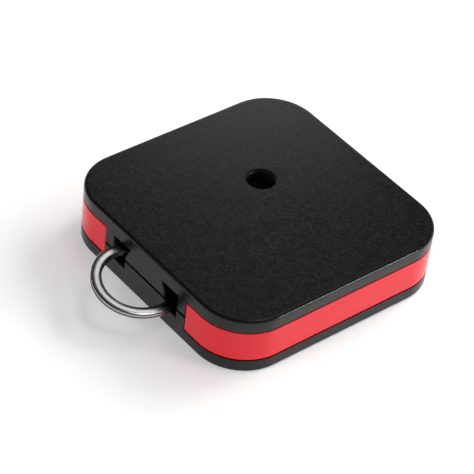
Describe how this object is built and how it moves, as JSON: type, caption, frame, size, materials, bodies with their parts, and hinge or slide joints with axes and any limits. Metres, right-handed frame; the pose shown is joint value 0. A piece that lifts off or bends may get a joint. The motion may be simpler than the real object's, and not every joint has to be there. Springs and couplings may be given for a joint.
{
  "type": "bluetooth tracker tag",
  "caption": "Square snap-together tracker tag with a red side band, a sound hole, a push button underneath and a small split ring hinged through a lug in one side.",
  "frame": {"origin": "centre of the flat back face that the tag lies on", "axes": "+Z out of the cover with the sound hole, -Y out of the side with the lug and ring, +X to the right with +Y ahead, seen from above"},
  "size_m": [0.04, 0.0478, 0.0094],
  "materials": {
    "shell_black": "fine satin grain",
    "band_red": "glossy",
    "ring_nickel": "bright nickel plate over steel",
    "button_black": "satin",
    "part_black": "moulded epoxy, matt",
    "sleeve_red": "smooth",
    "sleeve_black": "smooth",
    "cell_steel": "rolled steel, nickel plated",
    "contact_steel": "stamped spring steel",
    "contact_brass": "rolled sheet",
    "board_green": "solder mask over glass-epoxy board",
    "ceramic_white": "fired, unglazed",
    "tape": "double-sided adhesive tape",
    "screen_cloth": "fine woven mesh",
    "screw_steel": "zinc plated"
  },
  "bodies": {
    "housing": {"top_shell": "shell_black", "bottom_shell": "shell_black", "side_band": "band_red", "switch_body": "part_black", "coin_cell": "cell_steel", "cell_retainer": "contact_steel", "cell_contact": "contact_brass", "main_board": "board_green", "piezo_plate": "contact_brass", "piezo_ceramic": "ceramic_white", "piezo_tape_ring": "tape", "sound_screen": "screen_cloth", "piezo_lead_signal": "sleeve_red", "piezo_lead_ground": "sleeve_black", "board_screw_1": "screw_steel", "board_screw_2": "screw_steel", "board_screw_3": "screw_steel", "board_screw_4": "screw_steel", "radio_chip": "part_black", "crystal": "cell_steel", "chip_antenna": "ceramic_white", "boost_inductor": "part_black", "buzzer_driver": "part_black", "capacitor_1": "ceramic_white", "capacitor_2": "ceramic_white", "capacitor_3": "ceramic_white"},
    "ring": {"split_ring": "ring_nickel"},
    "button": {"push_button": "button_black"},
    "plunger": {"switch_plunger": "sleeve_red"}
  },
  "joints": [
    {"name": "ring_swing", "type": "hinge", "parent": "housing", "child": "ring", "pos_m": [0, -0.0192, 0.0048], "axis": [1, 0, 0], "range_deg": [-25, 12]},
    {"name": "button_press", "type": "slide", "parent": "housing", "child": "button", "axis": [0, 0, 1], "range_m": [0, 0.0003], "stiffness_N_per_m": 500},
    {"name": "plunger_press", "type": "slide", "parent": "housing", "child": "plunger", "axis": [0, 0, 1], "range_m": [0, 0.0003]}
  ],
  "couplings": [
    {"joint": "plunger_press", "follows": "button_press", "ratio": 1}
  ]
}
